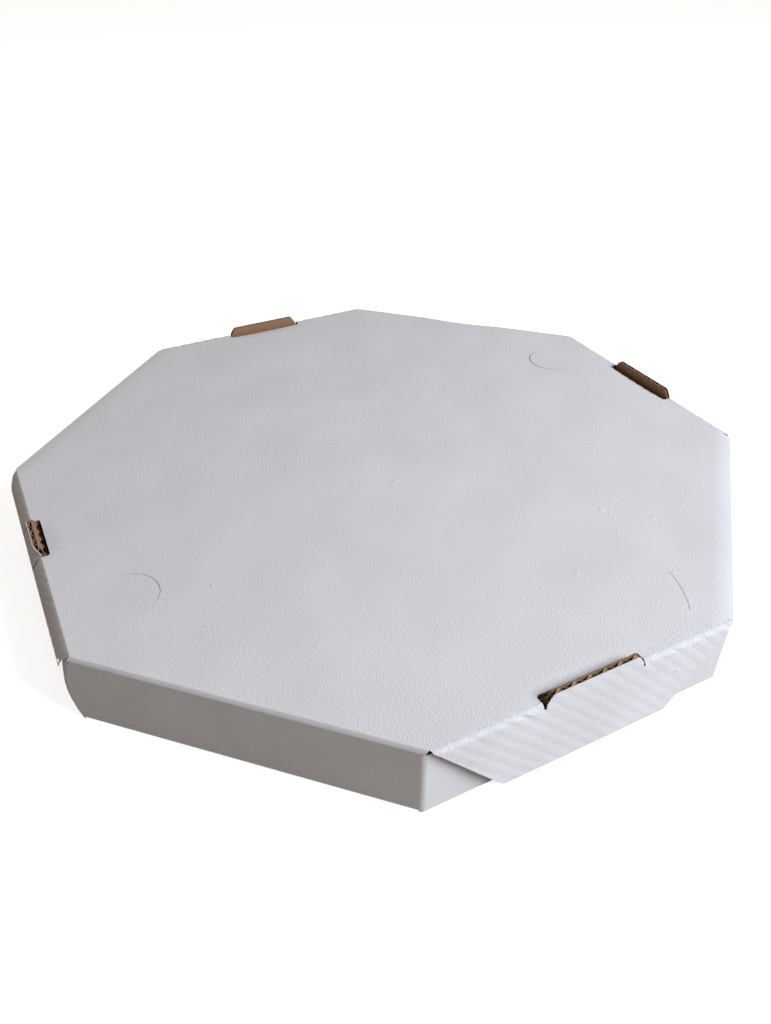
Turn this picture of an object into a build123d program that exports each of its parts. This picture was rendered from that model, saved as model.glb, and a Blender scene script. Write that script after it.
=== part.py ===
from build123d import *
import math
import os

# Octagonal pizza box folded from white-topped corrugated board.
# Frame: origin at the middle of the underside, +Z up, hinge side towards -Y, millimetres.

# Board
BOARD = 2.8                 # thickness of the corrugated sheet
LINER = 0.4                 # each of the two flat papers on its faces
WEB = 0.4                   # the wavy paper between them
FLUTE_PITCH = 5.8           # from one wave to the next
FOLD_RADIUS = 2.2           # outside rounding of a creased edge
CORNER_RADIUS = 3.5         # outside rounding of the upright corners of the tray

# Overall sizes
ACROSS_FLATS = 400.0        # outside width, measured between opposite sides
BOX_HEIGHT = 41.4           # floor to the top face of the closed lid

# Clearances between the folded panels
LID_SEAT = 0.3              # lid's underside above the wall tops
FLAP_GAP = 0.3              # flap's inner face to the ear behind it
CREASE_GAP = 0.3            # lid panel's edge to the flap's inner face
FLAP_FLOOR_GAP = 2.0        # flap's lower edge above the floor

# Ears of the main walls, glued outside the diagonal walls
EAR_LENGTH = 58.0           # from the upright corner to the ear's end, at its foot
EAR_SLANT = 9.0             # how much shorter the ear is at its top

# Flaps that hang from the lid's diagonal sides
FLAP_END_INSET = 34.5       # each end's slant, from the crease to the lower edge
FLAP_CORNER_RADIUS = 5.0    # rounding of the flap's lower corners
FLAP_SPLAY = 3.0            # degrees that a closed flap stands out at its foot
CREASE_BAND = 3.2           # crushed board below the crease, without open flutes

# Tabs cut out of the lid panel, which stand up as the flaps fold down
TAB_LENGTH = 52.0
TAB_HEIGHT = 4.6
TAB_TAPER = 3.0             # each end's slant, from the crease to the tab's top
TAB_CORNER_RADIUS = 1.6
SLOT_CLEARANCE = 1.3        # room round a tab in its slot

# Half-moon vents slit through the lid panel, beside two opposite diagonal sides
VENT_SIDES = ("back_right", "front_left")
VENT_RADIUS = 16.0
VENT_KERF = 0.5
VENT_ALONG = 55.0           # from the middle of its side, along the crease
VENT_INSET = 34.0           # from the panel's edge to the middle of its chord

# Short bowed slit through the lid panel, beside a third diagonal side
SLIT_SIDE = "front_right"
SLIT_LENGTH = 28.0
SLIT_BOW = 1.6              # how far its middle stands off a straight line
SLIT_ALONG = 73.0           # from the middle of its side to the slit's middle
SLIT_INSET = 26.0           # from the panel's edge to the slit's middle
SLIT_LEAN = 68.0            # its slope, measured from the crease

# Finger notch in the lid's front edge
NOTCH_LENGTH = 62.0
NOTCH_DEPTH = 3.0

# Values that follow from the sizes above
APOTHEM = ACROSS_FLATS / 2
LID_UNDERSIDE = BOX_HEIGHT - BOARD
WALL_TOP = LID_UNDERSIDE - LID_SEAT
EAR_OUTER = APOTHEM
DIAGONAL_OUTER = EAR_OUTER - BOARD
DIAGONAL_INNER = DIAGONAL_OUTER - BOARD
FLAP_INNER = EAR_OUTER + FLAP_GAP
CREASE = FLAP_INNER + BOARD
CREASE_HALF = APOTHEM * math.sqrt(2) - CREASE
PANEL_DIAGONAL = FLAP_INNER - CREASE_GAP
SLOT_DEPTH = math.hypot(BOARD, TAB_HEIGHT) + SLOT_CLEARANCE

# Diagonal sides, going round from the hinge side
DIAGONAL_SIDES = ("front_right", "back_right", "back_left", "front_left")


def turned(side: str) -> Location:
    """Turn about +Z that takes the hinge side to a diagonal side."""
    quarter = 360 / len(DIAGONAL_SIDES)
    return Rot(0, 0, quarter * (DIAGONAL_SIDES.index(side) + 0.5))


def octagon(straight: float, diagonal: float) -> Sketch:
    """Octagon with its straight and its diagonal sides at their own distances from the middle."""
    half = diagonal * math.sqrt(2) - straight
    points = [
        (half, -straight), (straight, -half), (straight, half), (half, straight),
        (-half, straight), (-straight, half), (-straight, -half), (-half, -straight),
    ]
    return make_face(Polyline(*points, close=True))


def fluting(across: float, length: float) -> Part:
    """Hollows between the papers of a board, on both sides of the wave.

    The flutes run along X for the whole length, the board's outer face lies at Z 0 and its inner face below.
    """
    top = -LINER
    foot = -BOARD + LINER
    reach = FLUTE_PITCH / 2 - WEB
    below = Polyline((-reach, foot), (reach, foot), (0, top - WEB), close=True)
    above = Polyline((-reach, top), (reach, top), (0, foot + WEB), close=True)
    waves = round(across / FLUTE_PITCH)
    cells = []
    for wave in range(waves):
        place = (wave - (waves - 1) / 2) * FLUTE_PITCH
        cells.append(Pos(place, 0) * make_face(below))
        cells.append(Pos(place + FLUTE_PITCH / 2, 0) * make_face(above))
    section = Plane((-length / 2, 0, 0), x_dir=(0, 1, 0), z_dir=(1, 0, 0))
    return extrude(section * (Sketch() + cells), length)


def upright(outline: list[tuple[float, float]], outer: float, depth: float) -> Part:
    """Plate of a given outline, standing parallel to the hinge side with its outer face at -Y outer."""
    face = make_face(Polyline(*[Vector(x, -outer, z) for x, z in outline], close=True))
    return extrude(face, amount=depth, dir=(0, 1, 0))


def ear_gap() -> Part:
    """Space between the two ears of one diagonal side, outside the diagonal wall."""
    ear_corner = APOTHEM * math.sqrt(2) - EAR_OUTER
    foot = ear_corner - EAR_LENGTH
    head = foot + EAR_SLANT
    outline = [(-foot, 0), (foot, 0), (head, WALL_TOP), (-head, WALL_TOP)]
    return upright(outline, APOTHEM, APOTHEM - DIAGONAL_OUTER)


def tray() -> Part:
    """Bottom panel with four main walls, four diagonal walls and the ears that join them."""
    body = extrude(octagon(APOTHEM, EAR_OUTER), WALL_TOP)
    body = fillet(body.edges().filter_by(Axis.Z), CORNER_RADIUS)
    body = fillet(body.faces().sort_by(Axis.Z)[0].edges(), FOLD_RADIUS)
    inside = extrude(octagon(APOTHEM - BOARD, DIAGONAL_INNER), WALL_TOP - BOARD)
    body -= Pos(0, 0, BOARD) * inside
    for side in DIAGONAL_SIDES:
        body -= turned(side) * ear_gap()
    return body


def slot() -> Part:
    """Opening that a raised tab leaves in the lid panel, at the hinge side before it is turned."""
    half = TAB_LENGTH / 2 + SLOT_CLEARANCE
    outline = Pos(0, -CREASE + SLOT_DEPTH / 2) * Rectangle(2 * half, SLOT_DEPTH)
    opening = extrude(outline, BOARD)
    inner_edges = opening.edges().filter_by(Axis.Z).sort_by(Axis.Y)[2:]
    return fillet(inner_edges, TAB_CORNER_RADIUS)


def vent() -> Part:
    """Half-moon slit whose chord runs along the hinge side, before it is turned."""
    ring = Circle(VENT_RADIUS + VENT_KERF / 2) - Circle(VENT_RADIUS - VENT_KERF / 2)
    inward = Rectangle(3 * VENT_RADIUS, 2 * VENT_RADIUS, align=(Align.CENTER, Align.MIN))
    slit = Pos(VENT_ALONG, -APOTHEM + VENT_INSET) * (ring & inward)
    return extrude(slit, BOARD)


def short_slit() -> Part:
    """Short bowed slit, at the hinge side before it is turned."""
    half = SLIT_LENGTH / 2
    bow = ThreePointArc((-half, 0), (0, -SLIT_BOW), (half, 0))
    place = Pos(SLIT_ALONG, -APOTHEM + SLIT_INSET) * Rot(0, 0, SLIT_LEAN)
    return extrude(place * trace(bow, line_width=VENT_KERF), BOARD)


def finger_notch() -> Part:
    """Shallow bow cut out of the lid's front edge."""
    ends = NOTCH_LENGTH / 2
    bow = ThreePointArc((-ends, APOTHEM), (0, APOTHEM - NOTCH_DEPTH), (ends, APOTHEM))
    return extrude(make_face([bow, Line((ends, APOTHEM), (-ends, APOTHEM))]), BOARD)


def lid_panel() -> Part:
    """Flat top of the lid, with its tab slots, half-moon vents and finger notch."""
    panel = extrude(octagon(APOTHEM, PANEL_DIAGONAL), BOARD)
    hinge_edge = panel.faces().sort_by(Axis.Z)[-1].edges().sort_by(Axis.Y)[0]
    panel = fillet(hinge_edge, FOLD_RADIUS)
    panel -= Pos(0, 0, BOARD) * fluting(ACROSS_FLATS - 2 * FLUTE_PITCH, 2 * ACROSS_FLATS)
    for side in DIAGONAL_SIDES:
        panel -= turned(side) * slot()
    for side in VENT_SIDES:
        panel -= turned(side) * vent()
    panel -= turned(SLIT_SIDE) * short_slit()
    panel -= finger_notch()
    return Pos(0, 0, LID_UNDERSIDE) * panel


def flap(side: str) -> Part:
    """Flap with its standing tab, folded down and turned to its side.

    The sheet's flutes run along X, so they cross every diagonal crease at half a right angle.
    """
    foot = CREASE_HALF - FLAP_END_INSET
    outline = [
        (-CREASE_HALF, BOX_HEIGHT), (-foot, FLAP_FLOOR_GAP), (foot, FLAP_FLOOR_GAP), (CREASE_HALF, BOX_HEIGHT),
    ]
    plate = upright(outline, CREASE, BOARD)
    across = plate.edges().filter_by(Axis.Y)
    plate = fillet(across.sort_by(Axis.Z)[:2], FLAP_CORNER_RADIUS)
    crease = plate.edges().filter_by(Axis.X).sort_by(Axis.Z)[-2:].sort_by(Axis.Y)[0]
    plate = fillet(crease, FOLD_RADIUS)

    base = TAB_LENGTH / 2
    top = base - TAB_TAPER
    root = BOX_HEIGHT - FOLD_RADIUS
    head = BOX_HEIGHT + TAB_HEIGHT
    tab_outline = [(-base, root), (base, root), (base, BOX_HEIGHT), (top, head), (-top, head), (-base, BOX_HEIGHT)]
    tab = upright(tab_outline, CREASE, BOARD)
    tab = fillet(tab.edges().filter_by(Axis.Y).sort_by(Axis.Z)[-2:], TAB_CORNER_RADIUS)

    band_foot = BOX_HEIGHT - CREASE_BAND
    open_outline = [
        (-CREASE_HALF, 0), (CREASE_HALF, 0), (CREASE_HALF, band_foot), (base, band_foot),
        (base, head), (-base, head), (-base, band_foot), (-CREASE_HALF, band_foot),
    ]
    open_board = upright(open_outline, CREASE, BOARD)
    lean = -turned(side).orientation.Z
    waves = fluting(2 * CREASE_HALF, 2 * CREASE_HALF)
    hollows = Pos(0, -CREASE, BOX_HEIGHT / 2) * Rot(90, 0, 0) * Rot(0, 0, lean) * waves
    board = plate + tab - (hollows & open_board)

    crease_line = Axis((0, -CREASE, BOX_HEIGHT), (-1, 0, 0))
    return turned(side) * board.rotate(crease_line, FLAP_SPLAY)


def main() -> None:
    """Write one file for each panel of the box."""
    pieces = {"tray": tray(), "lid_panel": lid_panel()}
    for side in DIAGONAL_SIDES:
        pieces[f"flap_{side}"] = flap(side)
    os.makedirs("parts", exist_ok=True)
    for name, piece in pieces.items():
        piece.label = name
        export_step(piece, f"parts/{name}.step")


main()
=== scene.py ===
"""Folds an octagonal pizza box out of white-topped corrugated board, ply by ply, and lights it."""
import logging
import math
from abc import ABC, abstractmethod
from collections.abc import Callable, Sequence
from dataclasses import dataclass, field
from enum import Enum

import bpy
import numpy as np
from mathutils import Matrix, Vector


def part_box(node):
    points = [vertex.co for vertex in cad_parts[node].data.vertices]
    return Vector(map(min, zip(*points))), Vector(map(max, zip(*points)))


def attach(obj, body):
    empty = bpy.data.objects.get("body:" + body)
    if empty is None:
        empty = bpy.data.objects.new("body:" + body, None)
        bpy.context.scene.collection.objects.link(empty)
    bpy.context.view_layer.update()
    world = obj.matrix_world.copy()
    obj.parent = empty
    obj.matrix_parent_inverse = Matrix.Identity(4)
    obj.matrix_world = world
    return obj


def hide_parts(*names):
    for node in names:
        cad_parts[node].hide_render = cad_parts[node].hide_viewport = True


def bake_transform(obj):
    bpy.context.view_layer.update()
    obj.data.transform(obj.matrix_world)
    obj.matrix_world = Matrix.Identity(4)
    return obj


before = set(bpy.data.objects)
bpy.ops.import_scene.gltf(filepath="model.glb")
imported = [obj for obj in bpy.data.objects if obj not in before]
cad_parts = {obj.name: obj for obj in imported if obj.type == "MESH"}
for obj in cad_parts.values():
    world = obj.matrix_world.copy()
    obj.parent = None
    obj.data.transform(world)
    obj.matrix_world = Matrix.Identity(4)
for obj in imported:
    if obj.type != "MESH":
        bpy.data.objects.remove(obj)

LOG = logging.getLogger("pizza_box")
MM = 0.001
SHEET_UV = "sheet"

Point = tuple[float, float]
Colour = tuple[float, float, float]
Relief = Callable[[np.ndarray, np.ndarray, np.ndarray], np.ndarray]


class Side(Enum):
    """Sides of the box, going round from the hinge side; the value counts eighths of a turn."""

    NEAR = 0
    FRONT_RIGHT = 1
    RIGHT = 2
    BACK_RIGHT = 3
    FAR = 4
    BACK_LEFT = 5
    LEFT = 6
    FRONT_LEFT = 7

    @property
    def turn(self) -> float:
        """Angle about +Z from the hinge side, in radians."""
        return self.value * math.pi / 4

    @property
    def diagonal(self) -> bool:
        """Whether this is one of the four sides with a flap."""
        return self.value % 2 == 1

    @property
    def label(self) -> str:
        """Name used for pieces on this side."""
        return self.name.lower()

    @property
    def spin(self) -> Matrix:
        """Turn that takes the hinge side to this side."""
        return Matrix.Rotation(self.turn, 4, "Z")

    def beside(self, steps: int) -> "Side":
        """The side that lies some eighths of a turn further round."""
        return Side((self.value + steps) % len(Side))


ROLLED_SIDE = Side.FRONT_LEFT
FLAP_SIDES = [side for side in Side if side.diagonal]
WALL_SIDES = [side for side in Side if not side.diagonal]


class Ply(Enum):
    """Finishes of the board; the value is the material slot that a ply's mesh uses for it."""

    FACE = 0
    BACK = 1


@dataclass(frozen=True)
class Board:
    """Single-wall corrugated board, white outside and brown inside, with its flutes along X."""

    thickness: float
    liner: float = 0.3 * MM
    medium: float = 0.22 * MM
    pitch: float = 5.8 * MM
    rows_per_flute: int = 6
    medium_rows_per_flute: int = 10
    span_step: float = 5.0 * MM
    ripple_reach: float = 2.4 * MM
    reach_spread: Point = (0.6, 0.8)
    depth_spread: Point = (0.35, 1.3)
    shuffle: Point = (12.9898, 43758.5453)

    def wave(self, y: np.ndarray) -> np.ndarray:
        """Height of the fluting from -1 to 1, with the white liner glued on where it is 1."""
        return np.cos(2 * math.pi * y / self.pitch)

    def hollow(self, y: np.ndarray) -> np.ndarray:
        """How far a place lies from the flute tips, from 0 on a tip to 1 midway between two."""
        return 0.5 - 0.5 * self.wave(y)

    def columns(self, low: float, high: float, even_half: float) -> np.ndarray:
        """Places of the lines between a sheet's columns.

        Args:
            low: lowest place along the flutes.
            high: highest place along the flutes.
            even_half: half width of the middle where nothing changes along the flutes.

        Returns:
            Places in rising order.
        """
        if even_half == 0:
            return np.linspace(low, high, max(2, round((high - low) / self.span_step)) + 1)
        if even_half >= high:
            return np.array((low, 0.0, high))
        count = round((high - even_half) / self.span_step) + 1
        return np.concatenate([np.linspace(low, -even_half, count), np.linspace(even_half, high, count)])

    def ripple(self, y: np.ndarray, distance: np.ndarray, depth: float) -> np.ndarray:
        """Dents that a fold across the flutes presses in between the flute tips.

        Args:
            y: place across the flutes.
            distance: distance from the fold along the sheet.
            depth: depth of a middling dent.

        Returns:
            Depth below the plain sheet.
        """
        number = np.floor(y / self.pitch)
        chance = np.modf(np.abs(np.sin(number * self.shuffle[0]) * self.shuffle[1]))[0]
        reach = self.ripple_reach * (self.reach_spread[0] + self.reach_spread[1] * chance)
        share = self.depth_spread[0] + self.depth_spread[1] * chance ** 2
        return depth * share * self.hollow(y) ** 2 * np.exp(-(distance / reach) ** 2)


@dataclass(frozen=True)
class BoxSizes:
    """Sizes of the folded box, read from the solids where they show them."""

    apothem: float
    height: float
    wall_top: float
    board: float
    splay: float = math.radians(3.0)
    fold: float = 2.2 * MM
    crease: float = 2.8 * MM
    hinge_lap: float = 1.3 * MM
    corner: float = 3.5 * MM
    flap_gap: float = 0.3 * MM
    flap_floor_gap: float = 2.0 * MM
    flap_end_inset: float = 34.5 * MM
    flap_corner: float = 5.0 * MM
    tab_half: float = 26.0 * MM
    tab_height: float = 4.6 * MM
    tab_taper: float = 3.0 * MM
    tab_corner: float = 2.6 * MM
    torn_tab_end: float = 5.0 * MM
    torn_slot: float = 3.1 * MM
    slot_corner: float = 1.6 * MM
    slot_clearance: float = 1.3 * MM
    roll_reach: float = 5.5 * MM
    roll_drop: float = 6.5 * MM
    roll_overhang: float = 2.0 * MM
    ear_length: float = 58.0 * MM
    ear_slant: float = 9.0 * MM
    foot_gap: float = 0.3 * MM

    @classmethod
    def from_frame(cls) -> "BoxSizes":
        """Read the lid's and the tray's boxes."""
        lid_low, lid_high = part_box("lid_panel")
        tray_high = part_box("tray")[1]
        return cls(lid_high.x, lid_high.z, tray_high.z, lid_high.z - lid_low.z)

    @property
    def crease_plane(self) -> float:
        """Distance of the flaps' creases from the middle, outside the ears by a gap and the board."""
        return self.apothem + self.flap_gap + self.board

    @property
    def crease_half(self) -> float:
        """Half the length of a flap's crease."""
        return self.crossing(self.crease_plane, self.apothem)

    @property
    def fold_angle(self) -> float:
        """Angle that a closed flap is folded through."""
        return math.pi / 2 - self.splay

    @property
    def fold_reach(self) -> float:
        """Distance from a plain crease to both ends of its bend."""
        return self.crease * math.tan(self.fold_angle / 2)

    @property
    def diagonal_plane(self) -> float:
        """Distance of the diagonal walls' outer faces from the middle, behind the ears."""
        return self.apothem - self.board

    def crossing(self, own: float, other: float) -> float:
        """Half length of a side at one distance from the middle, up to neighbours at another."""
        return other * math.sqrt(2) - own

    def crease_reach(self, side: Side) -> float:
        """Distance from a flap's crease to where its bend begins on the lid."""
        return self.roll_reach if side is ROLLED_SIDE else self.fold_reach

    def crease_drop(self, side: Side) -> float:
        """Distance from a flap's crease to where its bend ends on the flap."""
        return self.roll_drop if side is ROLLED_SIDE else self.fold_reach

    def flap_inset(self, side: Side) -> float:
        """How far in from a regular octagon the lid's flat face ends at a flap's crease."""
        return self.apothem - self.crease_plane + self.crease_reach(side)

    def slot_depth(self, side: Side) -> float:
        """Depth of a tab's slot, measured from the crease; the slot of the torn tab is torn wider."""
        cut = math.hypot(self.board, self.tab_height) + self.slot_clearance
        return cut + self.torn_slot if side is ROLLED_SIDE else cut

    def tab_span(self, side: Side) -> Point:
        """Ends of a tab along its crease; the tab on the rolled side is torn off past its middle."""
        return -self.tab_half, self.torn_tab_end if side is ROLLED_SIDE else self.tab_half


def turned(points: Sequence[Point], angle: float) -> list[Point]:
    """Points turned about the origin by an angle in radians."""
    cos, sin = math.cos(angle), math.sin(angle)
    return [(cos * x - sin * y, sin * x + cos * y) for x, y in points]


def rounded(corners: Sequence[tuple[float, float, float]], steps: int = 6) -> list[Point]:
    """Outline with round corners.

    Args:
        corners: each corner's place and radius, where 0 keeps it sharp.
        steps: straight pieces in each round corner.

    Returns:
        Points of the outline.
    """
    outline: list[Point] = []
    count = len(corners)
    for index, (x, y, radius) in enumerate(corners):
        here = Vector((x, y))
        if radius == 0:
            outline.append((x, y))
            continue
        back = (Vector(corners[index - 1][:2]) - here).normalized()
        ahead = (Vector(corners[(index + 1) % count][:2]) - here).normalized()
        half = back.angle(ahead) / 2
        middle = here + (back + ahead).normalized() * (radius / math.sin(half))
        first = here + back * (radius / math.tan(half)) - middle
        sweep = first.angle_signed(here + ahead * (radius / math.tan(half)) - middle)
        start = math.atan2(first.y, first.x)
        for step in range(steps + 1):
            angle = start - sweep * step / steps
            outline.append((middle.x + radius * math.cos(angle), middle.y + radius * math.sin(angle)))
    return outline


def octagon(apothem: float, insets: dict[Side, float]) -> list[Point]:
    """Octagon whose sides may each be moved in.

    Args:
        apothem: distance of the sides from the middle.
        insets: how far each side is moved in.

    Returns:
        Its corners.
    """
    corners = []
    for side in Side:
        own = apothem - insets.get(side, 0.0)
        following = apothem - insets.get(side.beside(1), 0.0)
        along = following * math.sqrt(2) - own
        corners.extend(turned([(along, -own)], side.turn))
    return corners


def arc_band(
    middle: Point, radius: float, kerf: float, start: float, stop: float, steps: int = 28,
) -> list[Point]:
    """Outline of a slit along an arc.

    Args:
        middle: centre of the arc.
        radius: radius of the slit's middle line.
        kerf: width of the slit.
        start: angle of its first end.
        stop: angle of its last end.
        steps: straight pieces along the arc.

    Returns:
        Points of the outline.
    """
    angles = [start + (stop - start) * step / steps for step in range(steps + 1)]
    outer = [(radius + kerf / 2, angle) for angle in angles]
    inner = [(radius - kerf / 2, angle) for angle in reversed(angles)]
    return [(middle[0] + r * math.cos(a), middle[1] + r * math.sin(a)) for r, a in outer + inner]


def bow(length: float, rise: float) -> Point:
    """Radius of an arc with a given chord and rise, and half the angle that it spans."""
    half = length / 2
    radius = (half ** 2 + rise ** 2) / (2 * rise)
    return radius, math.asin(half / radius)


class Bench:
    """Blender's modelling operators, used on one object at a time."""

    SMOOTH_ANGLE = math.radians(38)

    @staticmethod
    def take(*objects: bpy.types.Object) -> None:
        """Select these objects alone, with the first one active."""
        bpy.ops.object.select_all(action="DESELECT")
        for obj in objects:
            obj.select_set(True)
        bpy.context.view_layer.objects.active = objects[0]

    @classmethod
    def grid(cls, name: str, low: Point, high: Point, columns: int, rows: int) -> bpy.types.Object:
        """Flat grid between two corners.

        Args:
            name: name of the new object.
            low: lowest corner.
            high: highest corner.
            columns: faces along X.
            rows: faces along Y.

        Returns:
            The new object.
        """
        bpy.ops.object.select_all(action="DESELECT")
        middle = ((low[0] + high[0]) / 2, (low[1] + high[1]) / 2, 0)
        counts = {"x_subdivisions": columns, "y_subdivisions": rows}
        bpy.ops.mesh.primitive_grid_add(size=1, location=middle, **counts)
        obj = bpy.context.object
        obj.name = obj.data.name = name
        bpy.ops.transform.resize(value=(high[0] - low[0], high[1] - low[1], 1))
        bpy.ops.object.transform_apply()
        return obj

    @classmethod
    def prism(cls, name: str, outline: Sequence[Point], low: float, high: float) -> bpy.types.Object:
        """Upright prism on an outline.

        Args:
            name: name of the new object.
            outline: points of its foot.
            low: height of its foot.
            high: height of its head.

        Returns:
            The new object.
        """
        bpy.ops.object.select_all(action="DESELECT")
        bpy.ops.mesh.primitive_circle_add(vertices=len(outline), radius=1, fill_type="NGON")
        obj = bpy.context.object
        obj.name = name
        for vertex, (x, y) in zip(obj.data.vertices, outline):
            vertex.co = (x, y, low)
        bpy.ops.object.mode_set(mode="EDIT")
        bpy.ops.mesh.select_all(action="SELECT")
        bpy.ops.mesh.extrude_region_move(TRANSFORM_OT_translate={"value": (0, 0, high - low)})
        bpy.ops.mesh.select_all(action="SELECT")
        bpy.ops.mesh.normals_make_consistent(inside=False)
        bpy.ops.object.mode_set(mode="OBJECT")
        return obj

    @classmethod
    def shape(cls, obj: bpy.types.Object, move: Callable[[np.ndarray], np.ndarray]) -> None:
        """Put each vertex where a function of the vertices' places says."""
        places = np.empty(len(obj.data.vertices) * 3, np.float32)
        obj.data.vertices.foreach_get("co", places)
        moved = move(places.reshape(-1, 3).astype(float))
        obj.data.vertices.foreach_set("co", moved.astype(np.float32).ravel())
        obj.data.update()

    @classmethod
    def thicken(cls, obj: bpy.types.Object, thickness: float, offset: float) -> None:
        """Give a sheet its thickness, with its own slot for the back."""
        cls.take(obj)
        solid = obj.modifiers.new("thickness", "SOLIDIFY")
        solid.thickness = thickness
        solid.offset = offset
        solid.material_offset = Ply.BACK.value
        bpy.ops.object.modifier_apply(modifier=solid.name)

    @classmethod
    def trim(cls, obj: bpy.types.Object, die: bpy.types.Object, operation: str) -> None:
        """Cut an object with a die and put the die away."""
        cls.take(obj)
        cut = obj.modifiers.new("die", "BOOLEAN")
        cut.operation = operation
        cut.solver = "EXACT"
        cut.material_mode = "INDEX"
        cut.object = die
        bpy.ops.object.modifier_apply(modifier=cut.name)
        bpy.data.objects.remove(die, do_unlink=True)

    @classmethod
    def lay_out(cls, obj: bpy.types.Object, sheet: Callable[[np.ndarray], np.ndarray]) -> None:
        """Write the flat sheet's coordinates to the object's UV map.

        Args:
            obj: object to write on.
            sheet: gives each vertex's two coordinates on the flat sheet.
        """
        mesh = obj.data
        while mesh.uv_layers:
            mesh.uv_layers.remove(mesh.uv_layers[0])
        layer = mesh.uv_layers.new(name=SHEET_UV)
        places = np.empty(len(mesh.vertices) * 3, np.float32)
        mesh.vertices.foreach_get("co", places)
        corners = np.empty(len(mesh.loops), np.int32)
        mesh.loops.foreach_get("vertex_index", corners)
        flat = sheet(places.reshape(-1, 3).astype(float))[corners]
        layer.data.foreach_set("uv", flat.astype(np.float32).ravel())

    @classmethod
    def put(cls, obj: bpy.types.Object, place: Matrix) -> bpy.types.Object:
        """Move an object and keep its place in its mesh."""
        cls.take(obj)
        obj.matrix_world = place
        bpy.ops.object.transform_apply()
        return obj

    @classmethod
    def join(cls, name: str, objects: Sequence[bpy.types.Object]) -> bpy.types.Object:
        """One smooth-shaded object made of several."""
        cls.take(*objects)
        if len(objects) > 1:
            bpy.ops.object.join()
        obj = bpy.context.object
        obj.name = obj.data.name = name
        bpy.ops.object.shade_smooth_by_angle(angle=cls.SMOOTH_ANGLE)
        return obj


class Value:
    """Number that flows through a material's nodes, with the usual operators."""

    def __init__(self, recipe: "Recipe", socket: bpy.types.NodeSocket) -> None:
        """Wrap an output socket."""
        self.recipe = recipe
        self.socket = socket

    def _math(self, operation: str, first: "Value | float", second: "Value | float") -> "Value":
        """Math node on two values."""
        node = self.recipe.node("ShaderNodeMath", {"operation": operation}, {0: first, 1: second})
        return Value(self.recipe, node.outputs[0])

    def __add__(self, other: "Value | float") -> "Value":
        """Sum."""
        return self._math("ADD", self, other)

    __radd__ = __add__

    def __sub__(self, other: "Value | float") -> "Value":
        """Difference."""
        return self._math("SUBTRACT", self, other)

    def __rsub__(self, other: float) -> "Value":
        """Difference from a number."""
        return self._math("SUBTRACT", other, self)

    def __mul__(self, other: "Value | float") -> "Value":
        """Product."""
        return self._math("MULTIPLY", self, other)

    __rmul__ = __mul__

    def size(self) -> "Value":
        """Value without its sign."""
        return self._math("ABSOLUTE", self, 0.0)

    def larger(self, other: "Value") -> "Value":
        """Larger one of two values."""
        return self._math("MAXIMUM", self, other)

    def above(self, low: float, high: float) -> "Value":
        """Smooth step from 0 at one level to 1 at another."""
        node = self.recipe.node(
            "ShaderNodeMapRange", {"interpolation_type": "SMOOTHSTEP"},
            {"Value": self, "From Min": low, "From Max": high},
        )
        return Value(self.recipe, node.outputs["Result"])


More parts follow.
